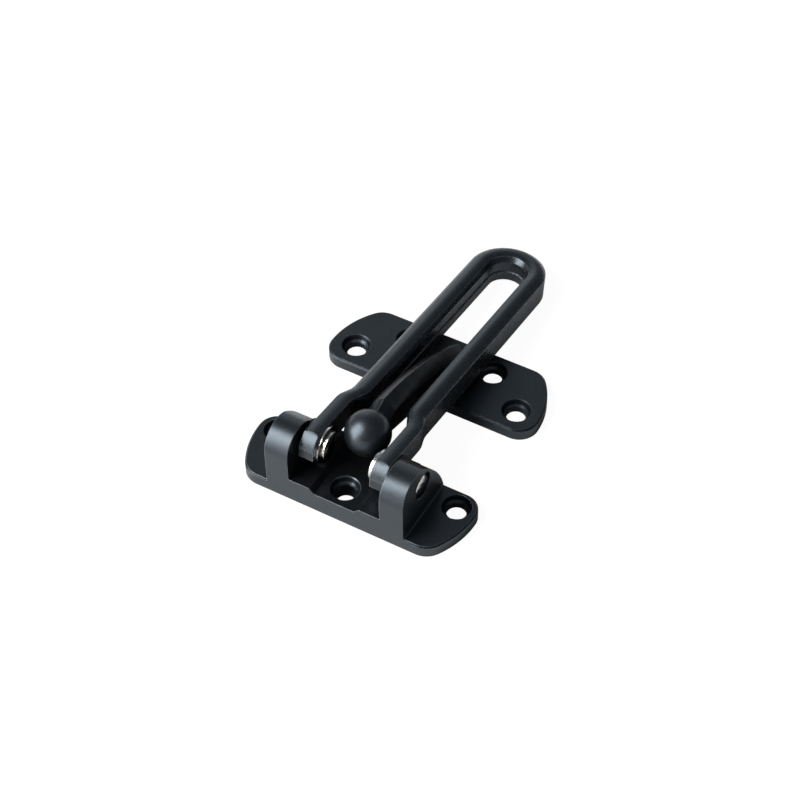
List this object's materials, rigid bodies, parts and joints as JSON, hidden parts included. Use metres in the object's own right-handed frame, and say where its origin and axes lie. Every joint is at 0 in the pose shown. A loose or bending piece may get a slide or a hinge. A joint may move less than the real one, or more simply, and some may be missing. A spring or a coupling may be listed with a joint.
{
  "type": "swing bar door guard",
  "caption": "Swing bar door guard: a slotted bar hinged between the lugs of a screw-on base closes over the ball arm of a separate screw-on keeper, so that a door opens only a little.",
  "frame": {"origin": "on the mounting plane, straight below the pivot axis, midway between the lugs", "axes": "+X along the pivot pins, +Y from the hinge towards the keeper and the tip of the closed bar, +Z out of the mounting plane"},
  "size_m": [0.072, 0.1167, 0.0242],
  "materials": {
    "base_paint": "satin blue-black paint on a fine cast surface",
    "bar_paint": "satin blue-black paint on a fine cast surface",
    "keeper_paint": "satin blue-black paint on a fine cast surface",
    "pin_steel": "bright plated",
    "washer_steel": "bright plated",
    "spacer_steel": "blackened steel"
  },
  "bodies": {
    "mounted_units": {"hinge_base": "base_paint", "ball_keeper": "keeper_paint", "pivot_pin_right": "pin_steel", "pivot_pin_left": "pin_steel", "head_washer_right": "washer_steel", "head_washer_left": "washer_steel", "spacer_washer_right": "spacer_steel", "spacer_washer_left": "spacer_steel"},
    "bar": {"swing_bar": "bar_paint"}
  },
  "joints": [
    {"name": "bar_swing", "type": "hinge", "parent": "mounted_units", "child": "bar", "pos_m": [0, 0, 0.0155], "axis": [1, 0, 0], "range_deg": [0, 190]}
  ]
}
